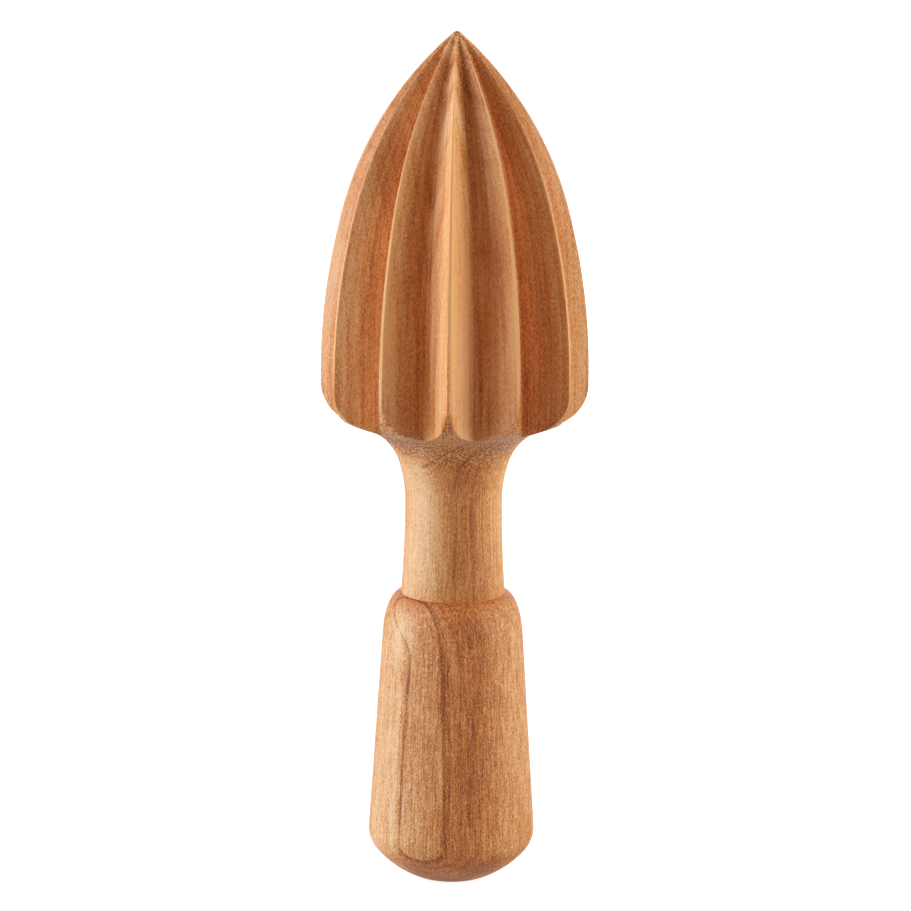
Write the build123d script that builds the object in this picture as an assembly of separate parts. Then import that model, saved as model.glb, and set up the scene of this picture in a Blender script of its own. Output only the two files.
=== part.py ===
from build123d import *
import os
from math import acos, asin, atan2, cos, degrees, hypot, pi, radians, sin, sqrt, tan

# Wooden citrus reamer, in millimetres, standing on its butt.
# The origin is the middle of the flat under the butt and +Z runs up the axis to the point.
# The side that faces the viewer is -Y.

# Handle, from the flat under the butt up to the seat of the neck
handle_length = 55.1
foot_radius = 7.5
dome_radius = 19.0
butt_rounding = 5.6
side_taper = 3.8
shoulder_width = 3.5
shoulder_drop = 9.4

# Neck, from its foot on the handle up to the rim of the head
stem_length = 39.9
neck_foot_radius = 9.8
waist_radius = 9.1
neck_easing = 24.0
flare_radius = 10.7
flare_turn = 51.0
underside_slope = 20.7

# Head, a turned ogive
rim_rounding = 7.2
head_radius = 25.0
rim_band = 2.2
ogive_length = 63.2
tip_radius = 0.9
brow_radius_share = 0.824
brow_height_share = 0.5

# Flutes, milled up the turned head by one V cutter. The ease leaves a strip of turned wood on each
# ridge, which narrows towards the tip, and the turn sets the front ridge a little to the viewer's left.
flute_count = 12
flute_angle = 85.0
flute_nose = 0.6
ridge_ease = 0.6
brow_ease_share = 0.6
tip_ease_share = 0.2
ridge_turn = -2.3

# Hidden joint between the two pieces, a round tenon glued into a drilled bore
tenon_radius = 6.0
tenon_length = 30.0
tenon_chamfer = 1.0
glue_gap = 0.08
glue_well = 2.0
bore_mouth = 0.5
drill_point_angle = 118.0
glue_ring_width = 1.2
glue_ring_depth = 0.3
glue_ring_shares = (0.2, 0.5, 0.8)

# Heights that follow from the lengths
rim_height = handle_length + stem_length
equator_height = rim_height + rim_band
apex_height = equator_height + ogive_length


def polar(length, angle):
    """The step of this length at this angle, in degrees, from the outline's first axis."""
    return Vector(length * cos(radians(angle)), length * sin(radians(angle)))


def turned(outline):
    """The wood that a closed outline of radius and height leaves on the lathe."""
    return revolve(Plane.XZ * make_face(outline), Axis.Z)


# Ogive: a long arc up from the widest circle, a rounder one above the brow, and a blunt tip
brow = Vector(head_radius * brow_radius_share, equator_height + ogive_length * brow_height_share)
brow_lean = 2 * degrees(atan2(head_radius - brow.X, brow.Y - equator_height))
tip_centre = Vector(0, apex_height - tip_radius)
brow_from_tip = brow - tip_centre
crown_reach = brow_from_tip.dot(polar(1, brow_lean)) - tip_radius
crown_radius = (brow_from_tip.length**2 - tip_radius**2) / (2 * crown_reach)
crown_centre = brow - polar(crown_radius, brow_lean)
tip_lean = degrees(atan2(tip_centre.Y - crown_centre.Y, tip_centre.X - crown_centre.X))


def head_outline():
    """Outline of the turned head, neck and tenon, down one side and closed along the axis."""
    tip = JernArc((0, apex_height), (1, 0), tip_radius, tip_lean - 90)
    crown = JernArc(tip @ 1, tip % 1, crown_radius, brow_lean - tip_lean)
    flank = JernArc(crown @ 1, crown % 1, (head_radius - brow.X) / (1 - cos(radians(brow_lean))), -brow_lean)
    band = Line((head_radius, equator_height), (head_radius, rim_height))
    rim = JernArc(band @ 1, (0, -1), rim_rounding, underside_slope - 90)

    # The flare and the easing below it end upright at the waist, which settles where the flare starts
    flare_end_slope = underside_slope + flare_turn
    flare_span = flare_radius * (sin(radians(flare_end_slope)) - sin(radians(underside_slope)))
    easing_span = neck_easing * (1 - sin(radians(flare_end_slope)))
    underside_run = (rim @ 1).X - waist_radius - flare_span - easing_span
    underside = PolarLine(rim @ 1, underside_run / cos(radians(underside_slope)), 180 + underside_slope)
    flare = JernArc(underside @ 1, underside % 1, flare_radius, flare_turn)
    easing = JernArc(flare @ 1, flare % 1, neck_easing, 90 - flare_end_slope)
    neck = TangentArc(easing @ 1, (neck_foot_radius, handle_length), tangent=(0, -1))

    tenon_end = handle_length - tenon_length
    tenon = Polyline(
        neck @ 1,
        (tenon_radius, handle_length),
        (tenon_radius, tenon_end + tenon_chamfer),
        (tenon_radius - tenon_chamfer, tenon_end),
        (0, tenon_end),
        (0, apex_height),
    )
    return [tip, crown, flank, band, rim, underside, flare, easing, neck, tenon]


def flute_root(ridge, ridge_lean):
    """Bottom of the V cut whose walls meet its neighbours' in a ridge through this point."""
    half_pitch = pi / flute_count
    wall = sin(half_pitch) / tan(radians(flute_angle / 2))
    lean = radians(ridge_lean)
    across = cos(half_pitch) * sin(lean)
    root_lean = acos(wall * sin(lean) / hypot(across, cos(lean))) - atan2(cos(lean), across)
    root_radius = ridge.X * (cos(half_pitch) - wall * cos(root_lean))
    root_height = ridge.Y - ridge.X * wall * sin(root_lean)
    return Vector(root_radius, 0, root_height)


def flute_cutter():
    """Wood that the V cutter with its rounded nose takes out, straight up past the rim and in to the tip."""
    low = flute_root(Vector(head_radius + ridge_ease, equator_height), 0)
    middle = flute_root(brow + polar(ridge_ease * brow_ease_share, brow_lean), brow_lean)
    tip_ease = ridge_ease * tip_ease_share
    sharp_tip_height = crown_centre.Y + sqrt((crown_radius + tip_ease) ** 2 - crown_centre.X**2)
    start = Vector(low.X, 0, handle_length)
    rise = Line(start, low)
    flank = TangentArc(low, middle, tangent=(0, 0, 1))
    crown = TangentArc(middle, (0, 0, sharp_tip_height), tangent=flank % 1)

    depth = head_radius / 2
    half_width = depth * tan(radians(flute_angle / 2))
    blade = make_face(Polyline((0, 0), (half_width, depth), (-half_width, depth), (0, 0)))
    blade = fillet(blade.vertices().sort_by(Axis.Y)[0], flute_nose)
    blade = Plane(start, x_dir=(0, -1, 0), z_dir=(0, 0, 1)) * blade
    return sweep(blade, path=Wire([rise, flank, crown]))


def reamer_head():
    """Fluted head with its neck and its tenon, one piece of wood."""
    head = turned(head_outline())
    cutter = flute_cutter()
    pitch = 360 / flute_count
    for flute in range(flute_count):
        head -= Rot(0, 0, ridge_turn - 90 + pitch * (flute + 0.5)) * cutter
    for share in glue_ring_shares:
        ring = Cylinder(tenon_radius + glue_ring_width, glue_ring_width)
        ring -= Cylinder(tenon_radius - glue_ring_depth, glue_ring_width)
        head -= Pos(0, 0, handle_length - tenon_length * share) * ring
    return head


def handle_outline():
    """Outline of the turned grip, down one side and closed along the axis."""
    # The quarter ellipse of the shoulder stops where it runs on into the tapered side
    shoulder_stop = atan2(shoulder_drop * tan(radians(side_taper)), shoulder_width)
    seat = Line((0, handle_length), (neck_foot_radius, handle_length))
    shoulder = EllipticalCenterArc(
        (neck_foot_radius, handle_length - shoulder_drop),
        shoulder_width,
        shoulder_drop,
        start_angle=90,
        arc_size=degrees(shoulder_stop) - 90,
    )
    side_top = Vector(
        neck_foot_radius + shoulder_width * cos(shoulder_stop),
        handle_length - shoulder_drop + shoulder_drop * sin(shoulder_stop),
    )

    # The rounding at the butt touches the side and the dome
    dome_centre = Vector(0, sqrt(dome_radius**2 - foot_radius**2))
    side_way = polar(1, side_taper - 90)
    inward = polar(1, side_taper - 180)
    start = side_top + inward * butt_rounding - dome_centre
    along = -start.dot(side_way)
    along += sqrt(start.dot(side_way) ** 2 - start.length**2 + (dome_radius - butt_rounding) ** 2)
    side = Line(side_top, side_top + side_way * along)
    rounding_centre = side @ 1 + inward * butt_rounding - dome_centre
    dome_start_angle = degrees(atan2(rounding_centre.Y, rounding_centre.X))
    rounding = JernArc(side @ 1, side % 1, butt_rounding, dome_start_angle - side_taper)
    foot_angle = degrees(asin(foot_radius / dome_radius)) - 90
    dome = JernArc(rounding @ 1, rounding % 1, dome_radius, foot_angle - dome_start_angle)
    foot = Polyline(dome @ 1, (0, 0), (0, handle_length))
    return [seat, shoulder, side, rounding, dome, foot]


def handle():
    """Turned grip, drilled from its seat for the tenon and a little glue below it."""
    bore_radius = tenon_radius + glue_gap
    bore_end = handle_length - tenon_length - glue_well
    drill_point = bore_radius / tan(radians(drill_point_angle / 2))
    bore = Polyline(
        (0, handle_length),
        (bore_radius + bore_mouth, handle_length),
        (bore_radius, handle_length - bore_mouth),
        (bore_radius, bore_end),
        (0, bore_end - drill_point),
        (0, handle_length),
    )
    return turned(handle_outline()) - turned([bore])


os.makedirs("parts", exist_ok=True)
pieces = {"reamer_head": reamer_head(), "handle": handle()}
for name, piece in pieces.items():
    export_step(piece, f"parts/{name}.step")
    print(name, "volume", round(piece.volume), "cubic mm, top at", round(piece.bounding_box().max.Z, 2))
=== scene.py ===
from math import cos, pi, radians, sin

import bmesh
import bpy
from mathutils import Euler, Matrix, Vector

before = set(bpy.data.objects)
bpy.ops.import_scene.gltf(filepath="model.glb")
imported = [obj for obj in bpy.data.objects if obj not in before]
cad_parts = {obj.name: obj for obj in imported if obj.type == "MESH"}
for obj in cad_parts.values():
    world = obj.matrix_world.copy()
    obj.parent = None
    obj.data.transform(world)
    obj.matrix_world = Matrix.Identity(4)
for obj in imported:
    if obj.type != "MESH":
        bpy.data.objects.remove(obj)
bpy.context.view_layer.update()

MM = 0.001

# Camera of the photograph, from a fit of the turned outline. Its distance is from the middle of the object,
# its angles are in degrees and its sensor is in mm.
PICTURE_PIXELS = 911
LENS_PIXELS = 3375.8
SENSOR_WIDTH = 36
CAMERA_DISTANCE = 632.7 * MM
CAMERA_ELEVATION = 11.62
CAMERA_ROLL = 0.42
AXIS_SHIFT_PIXELS = 1.6
HEIGHT_SHIFT_PIXELS = 0.5
MIDDLE = Vector((0, 0, 81.1)) * MM

# Studio. Each softbox has its azimuth, elevation, width and height in metres, radiance and colour. The white
# of the paper is for the camera and for reflections, so that it puts no light on the wood.
SOFTBOXES = {
    "left_softbox": (-76, 10, 0.8, 1.1, 4.5, (0.92, 1.0, 1.15)),
    "right_softbox": (80, 10, 0.8, 1.1, 3.6, (1.0, 0.97, 0.9)),
    "back_softbox": (180, 12, 0.8, 0.8, 2.0, (1, 1, 1)),
}
LAMP_DISTANCE = 900 * MM
FILL_STRENGTH = 0.06
FILL_COLOUR = "#FFEDDB"
PAPER_HALF_SIDE = 6.0
PAPER_COLOUR = "#C8C8C8"
PAPER_GLOW = 0.85

# Oiled cherry from its palest tone to its darkest in equal steps, what tints it where it is redder, and the
# honey tint of the painted highlight on the ridges. The oil leaves a satin gloss, a little duller on the
# fibres.
TONES = ("#F9D0A0", "#F2BA80", "#E39D58", "#CC7F3D", "#AD622C", "#7C421E")
REDDER = "#FFE7D2"
HIGHLIGHT_HONEY = "#FFFAE0"
OILED_IOR = 1.45
SATIN_ROUGHNESS = (0.5, 0.62)
RELIEF_DEPTH = 0.02 * MM

# Cells of the patterns that both pieces share, in mm across the rings, around them and along the grain. Ray
# flecks are short ribbons from pith to bark, and show as fine cross bands on the side faces. The sanding
# leaves cut fibre ends in tufts. Noise is spread so that its common range runs from 0 to 1.
WANDER_CELL = (14, 14, 55)
MOTTLE_CELL = (7, 9, 34)
FLECK_CELL = (3.2, 0.34, 0.85)
TUFT_CELL = (0.3, 0.3, 0.6)
COMMON_NOISE = (0.3, 0.7)

# Growth rings. A year goes from its pale spring wood to the thin dark line at its end. Years are uneven by
# this many, over about three years. The twist of the ring sheets starts softly, over this many mm.
YEAR_TONES = ((0.0, 0.3), (0.1, 0.0), (0.55, 0.12), (0.86, 0.4), (0.95, 1.0), (1.0, 0.3))
UNEVEN_YEARS = 2.5
UNEVEN_RATE = 0.37
TWIST_SOFTNESS = 4.0

# Share of a spindle's radius inside which it has its full amount
SPINDLE_CORE = 0.3

# Flutes. Each edge runs from outside to inside, in shares of the pitch, where a ridge is 0 and a root is 0.5.
# The lands and ridges get a painted highlight, paler, and the roots get painted shade, darker
PAINTED_FLUTE_EDGES = {"land_highlight": (0.04, 0.02), "ridge_highlight": (0.2, 0.02), "root_shade": (0.4, 0.5)}
# Heights over which the turned wood gives way to milled faces, and over which the ridges begin
MILLED_HEIGHTS = (86 * MM, 90 * MM)
RIDGE_HEIGHTS = (94 * MM, 104 * MM)
# The painted shade in the roots fades out towards the tip, between these distances from the axis in mm
ROOT_SHADE_DISTANCES = (2.0, 10.0)
# Places along Y between which the painted highlight on the ridges is tinted honey, on the viewer's side
HIGHLIGHT_HONEY_PLACES = (-9 * MM, -16 * MM)
# Marks of the cutter: so many for each radian around the head, 1 mm apart at the rim, and so long in mm
MARKS_PER_RADIAN = 23
MARK_LENGTH = 45

# Slopes, as the upright part of the normal, at which end grain and its checks begin and are full. A check is
# a thin dark streak, with half its width and the length over which it begins in mm.
END_GRAIN_SLOPES = (0.25, 0.9)
CHECK_SLOPES = (0.1, 0.35)
CHECK_HALF_WIDTH = 0.16
CHECK_BEGINNING = 1.5

# How much darker each part makes the wood, where 0 is the palest tone and 1 the darkest
MOTTLE_STRENGTH = 0.16
FLECK_STRENGTH = 0.12
END_RING_STRENGTH = 0.2
CHECK_STRENGTH = 0.35
# Painted highlight on the lands and along the ridges, and painted shade in the roots of the flutes
LAND_HIGHLIGHT_STRENGTH = -0.38
RIDGE_HIGHLIGHT_STRENGTH = -0.13
ROOT_SHADE_STRENGTH = 0.05
# The streaks are stronger on milled faces by this share
MILLED_STREAKS = 0.3
# How much redder the wood is there, where 1 is the full tint
# The painted highlight on the lands and the painted shade in the roots are tinted redder too
LAND_HIGHLIGHT_BLUSH = 0.8
ROOT_SHADE_BLUSH = 0.35
MILLED_BLUSH = 0.5


def linear(hex_colour):
    """An sRGB hex colour as the linear RGBA that Blender's sockets hold."""
    channels = [int(hex_colour[i : i + 2], 16) / 255 for i in (1, 3, 5)]
    return [c / 12.92 if c <= 0.04045 else ((c + 0.055) / 1.055) ** 2.4 for c in channels] + [1.0]


def grey(level):
    return (level, level, level, 1)


def node_adder(tree):
    """The one function that adds a node to this tree, with its settings, its ramp's stops and its links."""
    tree.nodes.clear()

    def add(kind, inputs=None, stops=None, **settings):
        node = tree.nodes.new(kind)
        for key, value in settings.items():
            setattr(node, key, value)
        for key, value in (inputs or {}).items():
            if isinstance(value, bpy.types.NodeSocket):
                tree.links.new(value, node.inputs[key])
            else:
                node.inputs[key].default_value = value
        if stops:
            ramp = node.color_ramp
            while len(ramp.elements) < len(stops):
                ramp.elements.new(0.5)
            for element, (position, colour) in zip(ramp.elements, stops):
                element.position = position
                element.color = colour
        return node

    return add


def new_material(name):
    material = bpy.data.materials.new(name)
    material.use_nodes = True
    return material, node_adder(material.node_tree)


def cell_scale(cell):
    """Scale that gives one cell of a pattern this size in millimetres."""
    return [1 / size for size in cell]


def wandering_grain(add, place, blank):
    """Place in the blank in mm, X towards the bark, and that place with the wander of the grain added."""
    turn = (0, 0, pi / 2 - radians(blank["ring_azimuth"]))
    wood = {"Vector": place, "Rotation": turn, "Scale": (1 / MM, 1 / MM, 1 / MM)}
    wood = add("ShaderNodeMapping", wood).outputs[0]

    # The grain wanders by a few tenths of a millimetre over a few centimetres
    cells = {"Vector": wood, "Scale": cell_scale(WANDER_CELL), "Location": blank["seed"]}
    cells = add("ShaderNodeMapping", cells)
    noise = add("ShaderNodeTexNoise", {"Vector": cells.outputs[0], "Scale": 1.0, "Detail": 2.0})
    wander = {0: noise.outputs["Color"], 1: (-0.5, -0.5, -0.5)}
    wander = add("ShaderNodeVectorMath", wander, operation="ADD")
    grain = {0: wander.outputs[0], 1: (blank["wander"], blank["wander"], 0), 2: wood}
    grain = add("ShaderNodeVectorMath", grain, operation="MULTIPLY_ADD")
    return wood, grain.outputs[0]


def growth_rings(add, grain, blank):
    """Bands of warmer and paler years, and the thin dark line at the end of each year."""
    # Distance of the ring sheets from the axis. They lean a little, and twist round a pivot above a height.
    sheet = {0: grain, 1: (1, 0, blank["ring_lean"])}
    sheet = add("ShaderNodeVectorMath", sheet, operation="DOT_PRODUCT").outputs["Value"]
    axes = add("ShaderNodeSeparateXYZ", {0: grain})
    above = {0: axes.outputs["Z"], 1: blank["twist_start"]}
    above = add("ShaderNodeMath", above, operation="SUBTRACT").outputs[0]
    above = add("ShaderNodeMath", {0: above, 1: 0.0, 2: TWIST_SOFTNESS}, operation="SMOOTH_MAX").outputs[0]
    twist = add("ShaderNodeMath", {0: above, 1: blank["ring_twist"]}, operation="MULTIPLY").outputs[0]
    pivot = {0: blank["twist_pivot"], 1: axes.outputs["Y"]}
    pivot = add("ShaderNodeMath", pivot, operation="SUBTRACT").outputs[0]
    sheet = add("ShaderNodeMath", {0: twist, 1: pivot, 2: sheet}, operation="MULTIPLY_ADD").outputs[0]

    half = blank["half_width"]
    share = add("ShaderNodeMapRange", {"Value": sheet, "From Min": -half, "From Max": half})
    stops = [((distance + half) / (2 * half), grey(tone)) for distance, tone in blank["years"]]
    years = add("ShaderNodeValToRGB", {"Fac": share.outputs[0]}, stops=stops)

    year = add("ShaderNodeMath", {0: sheet, 1: blank["ring_spacing"]}, operation="DIVIDE").outputs[0]
    uneven = {"W": year, "Scale": UNEVEN_RATE, "Detail": 1.0}
    uneven = add("ShaderNodeTexNoise", uneven, noise_dimensions="1D").outputs["Fac"]
    year = add("ShaderNodeMath", {0: uneven, 1: UNEVEN_YEARS, 2: year}, operation="MULTIPLY_ADD").outputs[0]
    year = add("ShaderNodeMath", {0: year}, operation="FRACT").outputs[0]
    stops = [(share_of_year, grey(tone)) for share_of_year, tone in YEAR_TONES]
    rings = add("ShaderNodeValToRGB", {"Fac": year}, stops=stops)
    return years.outputs["Color"], rings.outputs["Color"]


def pattern(add, grain, blank, cell, detail=2.0, roughness=0.5):
    """Noise whose cells have this size, spread to run from 0 to 1."""
    cells = {"Vector": grain, "Scale": cell_scale(cell), "Location": blank["seed"]}
    cells = add("ShaderNodeMapping", cells)
    noise = {"Vector": cells.outputs[0], "Scale": 1.0, "Detail": detail, "Roughness": roughness}
    noise = add("ShaderNodeTexNoise", noise).outputs["Fac"]
    low, high = COMMON_NOISE
    return add("ShaderNodeMapRange", {"Value": noise, "From Min": low, "From Max": high}).outputs[0]


def spindles(add, grain, blank, listed):
    """Sum of soft-edged spindles that follow the grain, each with its place, size, stretch and amount."""
    total = 0.0
    for azimuth, distance, height, radius, stretch, amount in listed:
        way = radians(azimuth - blank["ring_azimuth"])
        centre = (distance * cos(way), distance * sin(way), height / stretch)
        squeezed = add("ShaderNodeVectorMath", {0: grain, 1: (1, 1, 1 / stretch)}, operation="MULTIPLY")
        away = add("ShaderNodeVectorMath", {0: squeezed.outputs[0], 1: centre}, operation="DISTANCE")
        core = radius * SPINDLE_CORE
        spindle = {"Value": away.outputs["Value"], "From Min": radius, "From Max": core, "To Max": amount}
        spindle = add("ShaderNodeMapRange", spindle, interpolation_type="SMOOTHSTEP")
        total = add("ShaderNodeMath", {0: spindle.outputs[0], 1: total}, operation="ADD").outputs[0]
    return total


def flute_parts(add, place, wood, blank):
    """Where the head has milled faces, marks of the cutter, and masks of painted light on its flutes.

    The ridges get a painted highlight, most of all on their narrow lands, tinted honey on the viewer's side.
    The roots of the flutes get painted shade. The cutter and the sanding leave fine marks along the flutes.
    A piece without flutes has 0 for each.
    """
    if not blank["ridge_count"]:
        return dict.fromkeys(("milled", "marks", "highlight_honey", *PAINTED_FLUTE_EDGES), 0.0)

    axes = add("ShaderNodeSeparateXYZ", {0: place}).outputs
    low, high = MILLED_HEIGHTS
    milled = add("ShaderNodeMapRange", {"Value": axes["Z"], "From Min": low, "From Max": high})
    parts = {"milled": milled.outputs[0]}

    # How far each point stands from the nearest ridge, in shares of the pitch
    pitch = 2 * pi / blank["ridge_count"]
    azimuth = add("ShaderNodeMath", {0: axes["X"], 1: axes["Y"]}, operation="ARCTAN2").outputs[0]
    aside = {0: azimuth, 1: 1 / pitch, 2: radians(blank["ridge_turn"]) / pitch}
    aside = add("ShaderNodeMath", aside, operation="MULTIPLY_ADD").outputs[0]
    aside = add("ShaderNodeMath", {0: aside, 1: 0.5}, operation="PINGPONG").outputs[0]
    low, high = RIDGE_HEIGHTS
    begun = add("ShaderNodeMapRange", {"Value": axes["Z"], "From Min": low, "From Max": high}).outputs[0]
    for part, (outside, inside) in PAINTED_FLUTE_EDGES.items():
        edge = {"Value": aside, "From Min": outside, "From Max": inside}
        edge = add("ShaderNodeMapRange", edge, interpolation_type="SMOOTHSTEP").outputs[0]
        parts[part] = add("ShaderNodeMath", {0: edge, 1: begun}, operation="MULTIPLY").outputs[0]

    # The painted highlight on the ridges is tinted honey on the viewer's side
    low, high = HIGHLIGHT_HONEY_PLACES
    viewer_side = add("ShaderNodeMapRange", {"Value": axes["Y"], "From Min": low, "From Max": high}).outputs[0]
    parts["highlight_honey"] = add("ShaderNodeMath", {0: parts["ridge_highlight"], 1: viewer_side}, operation="MULTIPLY").outputs[0]

    flat = add("ShaderNodeVectorMath", {0: wood, 1: (1, 1, 0)}, operation="MULTIPLY").outputs[0]
    distance = add("ShaderNodeVectorMath", {0: flat}, operation="LENGTH").outputs["Value"]
    # The painted shade in the roots fades out near the axis, towards the tip
    low, high = ROOT_SHADE_DISTANCES
    wide = add("ShaderNodeMapRange", {"Value": distance, "From Min": low, "From Max": high}).outputs[0]
    parts["root_shade"] = add("ShaderNodeMath", {0: parts["root_shade"], 1: wide}, operation="MULTIPLY").outputs[0]

    # The marks read the direction from the axis and not the azimuth, so that they close without a seam
    around = add("ShaderNodeVectorMath", {0: flat}, operation="NORMALIZE").outputs[0]
    along = {0: wood, 1: (0, 0, 1 / MARK_LENGTH)}
    along = add("ShaderNodeVectorMath", along, operation="MULTIPLY").outputs[0]
    marks = {0: around, 1: (MARKS_PER_RADIAN, MARKS_PER_RADIAN, 0), 2: along}
    marks = add("ShaderNodeVectorMath", marks, operation="MULTIPLY_ADD").outputs[0]
    marks = {"Vector": marks, "Scale": 1.0, "Detail": 4.0, "Roughness": 0.8}
    marks = add("ShaderNodeTexNoise", marks).outputs["Fac"]
    low, high = COMMON_NOISE
    marks = add("ShaderNodeMapRange", {"Value": marks, "From Min": low, "From Max": high})
    parts["marks"] = marks.outputs[0]
    return parts


def end_checks(add, grain, slope, milled, blank):
    """A few years that show as thin dark streaks, on sloping turned wood alone."""
    checks = 0.0
    for azimuth, distance, start in blank["checks"]:
        way = radians(azimuth - blank["ring_azimuth"])
        apart = {0: grain, 1: (cos(way), sin(way), 0)}
        apart = add("ShaderNodeVectorMath", apart, operation="DOT_PRODUCT").outputs["Value"]
        along = {0: grain, 1: (-sin(way), cos(way), 0)}
        along = add("ShaderNodeVectorMath", along, operation="DOT_PRODUCT").outputs["Value"]
        check = {0: apart, 1: distance, 2: CHECK_HALF_WIDTH}
        check = add("ShaderNodeMath", check, operation="COMPARE").outputs[0]
        begun = {"Value": along, "From Min": start, "From Max": start + CHECK_BEGINNING}
        begun = add("ShaderNodeMapRange", begun).outputs[0]
        checks = add("ShaderNodeMath", {0: check, 1: begun, 2: checks}, operation="MULTIPLY_ADD").outputs[0]
    low, high = CHECK_SLOPES
    sloping = add("ShaderNodeMapRange", {"Value": slope, "From Min": low, "From Max": high}).outputs[0]
    checks = add("ShaderNodeMath", {0: checks, 1: sloping}, operation="MULTIPLY").outputs[0]
    turned = add("ShaderNodeMath", {0: 1.0, 1: milled}, operation="SUBTRACT").outputs[0]
    return add("ShaderNodeMath", {0: checks, 1: turned}, operation="MULTIPLY").outputs[0]


def oiled_cherry(name, blank):
    """Cherry, cut from its own blank, turned, sanded and oiled.

    The growth rings are flat sheets through the blank. A turned surface cuts them into arches on the side
    that faces the bark, into straight stripes beside that, and into dark end grain where it slopes inwards.
    The oil makes the colour deep and leaves a soft satin gloss that breaks up on the fibres. The colour
    also holds painted highlight on the ridges and lamp-lit sides, and painted shade in the flute roots.
    """
    material, add = new_material(name)
    coordinates = add("ShaderNodeTexCoord").outputs
    wood, grain = wandering_grain(add, coordinates["Object"], blank)
    years, rings = growth_rings(add, grain, blank)
    flutes = flute_parts(add, coordinates["Object"], wood, blank)
    shades = spindles(add, grain, blank, blank["shades"])
    blush = spindles(add, grain, blank, blank["blushes"])
    mottle = pattern(add, grain, blank, MOTTLE_CELL, detail=3)
    fibres = pattern(add, grain, blank, blank["fibres"], detail=4, roughness=0.6)
    pores = pattern(add, grain, blank, blank["pores"], detail=1)
    flecks = pattern(add, grain, blank, FLECK_CELL)

    # End grain lies open where the surface slopes. Its rings are plainer, and cut fibre ends stand in tufts.
    slope = add("ShaderNodeSeparateXYZ", {0: coordinates["Normal"]}).outputs["Z"]
    slope = add("ShaderNodeMath", {0: slope}, operation="ABSOLUTE").outputs[0]
    low, high = END_GRAIN_SLOPES
    end_grain = add("ShaderNodeMapRange", {"Value": slope, "From Min": low, "From Max": high}).outputs[0]
    end_rings = add("ShaderNodeMath", {0: rings, 1: end_grain}, operation="MULTIPLY").outputs[0]
    tufts = pattern(add, grain, blank, TUFT_CELL)
    tufts = add("ShaderNodeMath", {0: tufts, 1: -0.5}, operation="ADD").outputs[0]
    tufts = add("ShaderNodeMath", {0: tufts, 1: end_grain}, operation="MULTIPLY").outputs[0]
    checks = end_checks(add, grain, slope, flutes["milled"], blank)

    # On the flutes the marks of the cutter hide the fibres
    streaks = {"Factor": flutes["milled"], 2: fibres, 3: flutes["marks"]}
    streaks = add("ShaderNodeMix", streaks, data_type="FLOAT").outputs[0]
    streaks = add("ShaderNodeMath", {0: streaks, 1: -0.5}, operation="ADD").outputs[0]
    more = {0: flutes["milled"], 1: MILLED_STREAKS, 2: 1.0}
    more = add("ShaderNodeMath", more, operation="MULTIPLY_ADD").outputs[0]
    streaks = add("ShaderNodeMath", {0: streaks, 1: more}, operation="MULTIPLY").outputs[0]

    # Everything adds up to one tone, from pale to dark. The last number is where a part leaves it as it is.
    parts = (
        (rings, blank["ring_strength"], 0.2),
        (mottle, MOTTLE_STRENGTH, 0.5),
        (streaks, blank["fibre_strength"], 0),
        (pores, blank["pore_strength"], 0.5),
        (flecks, FLECK_STRENGTH, 0.5),
        (end_rings, END_RING_STRENGTH, 0),
        (tufts, blank["tuft_strength"], 0),
        (checks, CHECK_STRENGTH, 0),
        (end_grain, blank["end_darkening"], 0),
        (shades, 1.0, 0),
        # Painted highlight on the lands and ridges, and painted shade in the roots
        (flutes["land_highlight"], LAND_HIGHLIGHT_STRENGTH, 0),
        (flutes["ridge_highlight"], RIDGE_HIGHLIGHT_STRENGTH, 0),
        (flutes["root_shade"], ROOT_SHADE_STRENGTH, 0),
    )
    neutral = sum(strength * middle for part, strength, middle in parts)
    tone = add("ShaderNodeMath", {0: years, 1: neutral}, operation="SUBTRACT").outputs[0]
    for part, strength, middle in parts:
        tone = add("ShaderNodeMath", {0: part, 1: strength, 2: tone}, operation="MULTIPLY_ADD").outputs[0]
    stops = [(step / (len(TONES) - 1), linear(colour)) for step, colour in enumerate(TONES)]
    colour = add("ShaderNodeValToRGB", {"Fac": tone}, stops=stops).outputs["Color"]

    # Oil makes end grain and milled wood redder. The painted highlight on the lands and the painted shade in
    # the roots are redder too, and the painted highlight on the ridges is tinted honey on the viewer's side.
    for part, amount in (
        (end_grain, blank["end_blush"]),
        (flutes["land_highlight"], LAND_HIGHLIGHT_BLUSH),
        (flutes["root_shade"], ROOT_SHADE_BLUSH),
        (flutes["milled"], MILLED_BLUSH),
    ):
        blush = add("ShaderNodeMath", {0: part, 1: amount, 2: blush}, operation="MULTIPLY_ADD").outputs[0]
    blush = add("ShaderNodeClamp", {"Value": blush}).outputs[0]
    for amount, tint in ((blush, REDDER), (flutes["highlight_honey"], HIGHLIGHT_HONEY)):
        tinted = {"Factor": amount, 6: colour, 7: linear(tint)}
        colour = add("ShaderNodeMix", tinted, data_type="RGBA", blend_type="MULTIPLY").outputs[2]

    # Pores are pits, and fibres and flecks stand up beside them
    height = pores
    for part in (fibres, flecks):
        height = add("ShaderNodeMath", {0: part, 1: -0.5, 2: height}, operation="MULTIPLY_ADD").outputs[0]
    relief = add("ShaderNodeBump", {"Height": height, "Strength": 1.0, "Distance": -RELIEF_DEPTH})
    low, high = SATIN_ROUGHNESS
    satin = add("ShaderNodeMapRange", {"Value": fibres, "To Min": low, "To Max": high})
    oiled = {
        "Base Color": colour,
        "Roughness": satin.outputs[0],
        "IOR": OILED_IOR,
        "Normal": relief.outputs[0],
    }
    oiled = add("ShaderNodeBsdfPrincipled", oiled)
    add("ShaderNodeOutputMaterial", {"Surface": oiled.outputs[0]})
    return material


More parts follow.
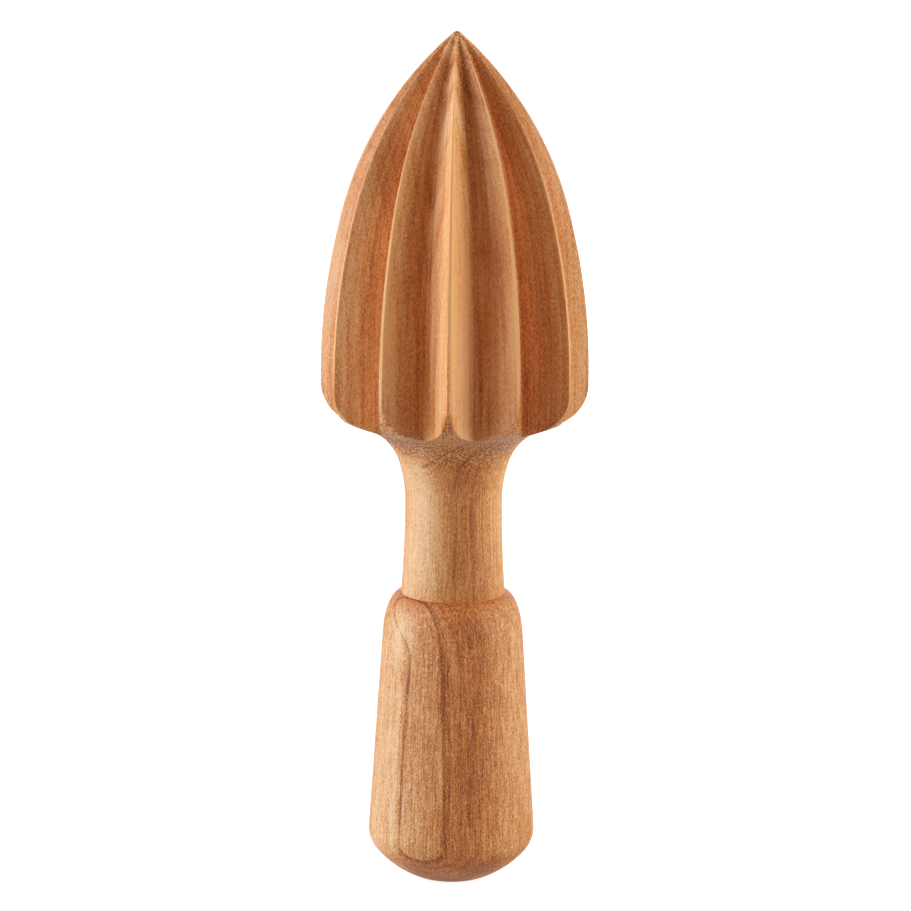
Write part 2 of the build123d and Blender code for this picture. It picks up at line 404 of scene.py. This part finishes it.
def place_camera():
    """The camera of the photograph: a long lens, a little above the object."""
    data = bpy.data.cameras.new("camera")
    data.sensor_width = SENSOR_WIDTH
    data.lens = LENS_PIXELS / PICTURE_PIXELS * SENSOR_WIDTH
    data.shift_x = AXIS_SHIFT_PIXELS / PICTURE_PIXELS
    data.shift_y = HEIGHT_SHIFT_PIXELS / PICTURE_PIXELS
    camera = bpy.data.objects.new("camera", data)
    bpy.context.scene.collection.objects.link(camera)
    elevation = radians(CAMERA_ELEVATION)
    camera.location = MIDDLE + CAMERA_DISTANCE * Vector((0, -cos(elevation), sin(elevation)))
    level = Euler((pi / 2 - elevation, 0, 0)).to_matrix()
    camera.rotation_euler = (level @ Euler((0, 0, radians(CAMERA_ROLL))).to_matrix()).to_euler()
    bpy.context.scene.camera = camera


def hang_softbox(name, azimuth, elevation, width, height, radiance, colour):
    """A lamp panel that faces the object. Azimuth 0 is the viewer's side and 90 the viewer's right."""
    data = bpy.data.lights.new(name, "AREA")
    data.shape = "RECTANGLE"
    data.size = width
    data.size_y = height
    data.energy = radiance * pi * width * height
    data.color = colour
    lamp = bpy.data.objects.new(name, data)
    bpy.context.scene.collection.objects.link(lamp)
    azimuth, elevation = radians(azimuth), radians(elevation)
    way = Vector((sin(azimuth) * cos(elevation), -cos(azimuth) * cos(elevation), sin(elevation)))
    lamp.location = MIDDLE + LAMP_DISTANCE * way
    lamp.rotation_euler = way.to_track_quat("Z", "Y").to_euler()


def white_paper_rays(add):
    """1 for the rays that should see white paper: the camera's, reflected ones and those through glass."""
    path = add("ShaderNodeLightPath").outputs
    seen = path["Is Camera Ray"]
    for kind in ("Is Glossy Ray", "Is Transmission Ray"):
        seen = add("ShaderNodeMath", {0: seen, 1: path[kind]}, operation="MAXIMUM").outputs[0]
    return seen


def light_studio():
    """A cool softbox on the left, a weaker warm one on the right, one behind, and a little fill light."""
    for name, panel in SOFTBOXES.items():
        hang_softbox(name, *panel)
    world = bpy.data.worlds.new("studio")
    world.use_nodes = True
    add = node_adder(world.node_tree)
    seen = white_paper_rays(add)
    strength = add("ShaderNodeMapRange", {"Value": seen, "To Min": FILL_STRENGTH, "To Max": 1.0})
    colour = add("ShaderNodeMix", {"Factor": seen, 6: linear(FILL_COLOUR), 7: grey(1)}, data_type="RGBA")
    room = add("ShaderNodeBackground", {"Color": colour.outputs[2], "Strength": strength.outputs[0]})
    add("ShaderNodeOutputWorld", {"Surface": room.outputs[0]})
    bpy.context.scene.world = world


def lay_paper():
    """A wide sheet of plain white paper, which glows for the camera only and keeps the object's shadow."""
    material, add = new_material("matt_white_paper")
    matt = add("ShaderNodeBsdfDiffuse", {"Color": linear(PAPER_COLOUR)})
    away = add("ShaderNodeVectorMath", {0: add("ShaderNodeTexCoord").outputs["Object"]}, operation="LENGTH")
    glow = {"Value": away.outputs["Value"], "From Max": LAMP_DISTANCE, "To Min": PAPER_GLOW, "To Max": 1.0}
    glow = add("ShaderNodeMapRange", glow, interpolation_type="SMOOTHSTEP")
    glow = add("ShaderNodeEmission", {"Strength": glow.outputs[0]})
    lit = add("ShaderNodeAddShader", {0: matt.outputs[0], 1: glow.outputs[0]})
    mix = add("ShaderNodeMixShader", {"Fac": white_paper_rays(add), 1: matt.outputs[0], 2: lit.outputs[0]})
    add("ShaderNodeOutputMaterial", {"Surface": mix.outputs[0]})

    sheet = bmesh.new()
    bmesh.ops.create_grid(sheet, x_segments=1, y_segments=1, size=PAPER_HALF_SIDE)
    mesh = bpy.data.meshes.new("paper")
    sheet.to_mesh(mesh)
    sheet.free()
    mesh.materials.append(material)
    paper = bpy.data.objects.new("paper", mesh)
    bpy.context.scene.collection.objects.link(paper)


# Two blanks. Azimuths are in degrees from the viewer's side, positive to the viewer's right, and the ring
# azimuth points from the pith to the bark. Lengths are in mm. Years are distances from the axis that way,
# each with how dark that year is. Shades are spindles of darker wood and blushes of redder wood, less than 0
# being paler and less red: azimuth, distance and height of the middle, radius, how many times longer than
# wide, and amount. Some of them are painted light or painted shade, as marked where they stand. Checks
# have their azimuth, distance and start. Fibres are 0.02 mm wide and pores 0.1 mm, too fine to show, so the
# cells of fibres are bundles of 0.3 mm and more, and those of pores 0.14 mm.
HEAD_BLANK = {
    "ring_azimuth": -38,
    "ring_lean": 0.0,
    "ring_twist": 0.0,
    "twist_start": 200,
    "twist_pivot": 0.0,
    "ring_spacing": 1.7,
    "ring_strength": 0.16,
    "half_width": 26,
    "years": [
        (-26, 0.4),
        (-8, 0.4),
        (0, 0.55),
        (5, 0.55),
        (9, 0.42),
        (13, 0.4),
        (18, 0.42),
        (26, 0.45),
    ],
    "shades": [
        # Front ridge, its two walls and the pad below it
        (3, 20.5, 114, 7.5, 6, -0.32),
        (-4.5, 10.8, 141, 3.2, 4, -0.34),
        (2, 23, 98, 6, 3, -0.12),
        (-3, 15, 136, 4, 4, -0.12),
        (-2.3, 24.5, 90.5, 3.2, 1.4, 0.34),
        # Painted shade: the front land faces away from the lamps, so this takes its painted highlight off
        (-2.3, 25.2, 106, 0.9, 18, 0.3),
        # Tip
        (-12, 10, 149, 2, 4, 0.12),
        (8, 6, 151, 2, 4, 0.08),
        (-25, 3.5, 155, 1.8, 3, -0.35),
        (-7, 7, 151, 2.2, 3, -0.25),
        (0, 0, 153, 9, 1.3, -0.08),
        (0, 0, 158, 5, 2, -0.15),
        # Flutes on the left
        (-11, 15, 126, 2.2, 5, -0.2),
        (-20, 13.3, 128, 2.2, 6, 0.22),
        (-24.5, 17.4, 105, 4.5, 7, 0.07),
        (-25.8, 20.9, 105, 2, 7, -0.12),
        (-30.5, 22.5, 108, 6, 5, -0.15),
        (-35.5, 23.5, 105, 3.5, 8, -0.15),
        (-48, 18, 105, 6, 5, 0.12),
        (-50, 17, 142, 7, 3, 0.3),
        # Painted light: paler where the left lamp falls on the outer walls
        (-85, 24, 110, 7, 6, -0.1),
        # Flutes on the right
        (10, 14.5, 129, 2.2, 5, -0.18),
        # Painted shade in the root of the flute right of the front ridge
        (12.7, 17, 108, 1.4, 8, 0.12),
        (15, 13.5, 126, 2.2, 6, 0.3),
        (17.5, 18.5, 103, 1.7, 8, 0.3),
        (21, 20.5, 106, 3, 5, -0.1),
        (24.5, 22.5, 98, 2.5, 6, -0.12),
        (26, 14, 138, 6, 4, -0.05),
        (27, 24, 105, 3, 8, -0.1),
        (36, 22, 105, 6, 6, -0.1),
        (52, 20, 98, 6, 4, 0.1),
        # Flare
        (-50, 14, 85, 6.5, 1, 0.34),
        (-20, 13, 84.5, 5, 1, 0.06),
        (-10, 15, 89, 5, 1, -0.1),
        (0, 10, 80, 6, 1, 0.12),
        # Neck
        # Painted light: paler where the left lamp falls on the neck
        (-52, 9.5, 70, 7, 5, -0.24),
        (2, 9.2, 67, 0.5, 26, 0.2),
        (10, 9.5, 70, 5, 6, 0.05),
        # Painted light: paler where the right lamp falls on the neck
        (64, 10.5, 70, 6, 5, -0.17),
    ],
    "blushes": [
        # Tip
        (0, 0, 157, 5, 2, -0.3),
        (0, 9, 149, 6, 3, -0.4),
        # Ridges and flutes, from left to right
        # Painted light: these two make the side that the left lamp lights less red
        (-72, 24, 108, 7, 6, -0.5),
        (-70, 17, 134, 7, 3, -0.5),
        (-45, 22, 112, 8, 5, -0.3),
        (-27, 22.5, 105, 3, 10, 0.4),
        (-3, 19, 112, 9, 5, 0.3),
        # Painted shade, redder, in the root of the flute right of the front ridge
        (12.7, 17, 108, 2, 8, 0.4),
        (14, 15, 108, 7, 4, 0.4),
        (26, 22, 105, 5, 8, 0.5),
        (26, 15, 145, 6, 5, -0.4),
        # Painted light: less red where the right lamp falls on the side
        (82, 24, 108, 6, 6, -0.4),
        # Flare
        (0, 11, 84, 9, 1, 0.5),
        (-50, 14, 84, 5, 1, 0.4),
    ],
    "ridge_count": 12,
    "ridge_turn": -2.3,
    "fibres": (0.3, 0.3, 30),
    "fibre_strength": 0.38,
    "pores": (0.14, 0.14, 0.5),
    "pore_strength": 0.5,
    "checks": [(-40, 10.47, 0.5), (-22, 9.2, 4.5)],
    "tuft_strength": 2.3,
    "end_darkening": 0.0,
    "end_blush": 0.2,
    "wander": 2.0,
    "seed": (3.1, 7.7, 1.3),
}
HANDLE_BLANK = {
    "ring_azimuth": -21.5,
    "ring_lean": 0.058,
    "ring_twist": 0.062,
    "twist_start": 47,
    "twist_pivot": 2.3,
    "ring_spacing": 1.45,
    "ring_strength": 0.08,
    "half_width": 20,
    # The dark lines at 14.5, 15.3 and 15.6 mm draw the three arches
    "years": [
        (-20, 0.4),
        (7.5, 0.38),
        (9.5, 0.47),
        (12.5, 0.52),
        (14.1, 0.5),
        (14.35, 0.52),
        (14.47, 0.74),
        (14.55, 0.5),
        (15.0, 0.44),
        (15.2, 0.48),
        (15.31, 0.66),
        (15.38, 0.46),
        (15.48, 0.52),
        (15.57, 0.95),
        (15.63, 0.95),
        (15.68, 0.5),
        (15.75, 0.44),
        (20, 0.42),
    ],
    "shades": [
        # Shoulder
        (-50, 13.6, 47.5, 2.4, 2, -0.35),
        (-40, 12.5, 51, 3.5, 1.5, -0.04),
        (14, 12, 50, 4, 1, 0.12),
        # Sides and the streaks in them, from left to right
        # Painted light: paler where the left lamp falls on the side
        (-56, 16, 28, 8, 20, -0.3),
        (-37.5, 15, 38, 0.5, 36, 0.2),
        (-34, 14.8, 36, 2, 12, 0.12),
        (-29.5, 14.6, 38, 0.4, 36, 0.15),
        (-7.5, 14.8, 26, 1.2, 15, -0.25),
        (5, 14.5, 28, 7, 20, 0.08),
        (7, 14.2, 42, 0.7, 12, 0.35),
        (12.5, 15, 24, 0.9, 16, 0.2),
        (50, 15, 28, 6, 20, 0.05),
        (76, 15, 28, 6, 20, 0.06),
        # Butt
        (-43, 14.5, 7, 4, 1, 0.15),
        (-3, 12.5, 3, 4, 1, -0.22),
        (33, 14, 5, 5, 1, 0.15),
    ],
    "blushes": [(8, 15, 28, 10, 20, 0.7), (0, 8, 2, 12, 0.8, -0.5)],
    "ridge_count": 0,
    "fibres": (0.35, 0.35, 40),
    "fibre_strength": 0.54,
    "pores": (0.14, 0.14, 0.4),
    "pore_strength": 0.72,
    "checks": [],
    "tuft_strength": 0.5,
    "end_darkening": 0.12,
    "end_blush": 1.0,
    "wander": 0.5,
    "seed": (5.2, 1.9, 8.4),
}

bpy.context.scene.view_settings.view_transform = "Standard"
place_camera()
light_studio()
lay_paper()
woods = {
    "reamer_head": oiled_cherry("oiled_cherry_milled", HEAD_BLANK),
    "handle": oiled_cherry("oiled_cherry_turned", HANDLE_BLANK),
}
for name, wood in woods.items():
    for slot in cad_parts[name].material_slots:
        slot.material = wood
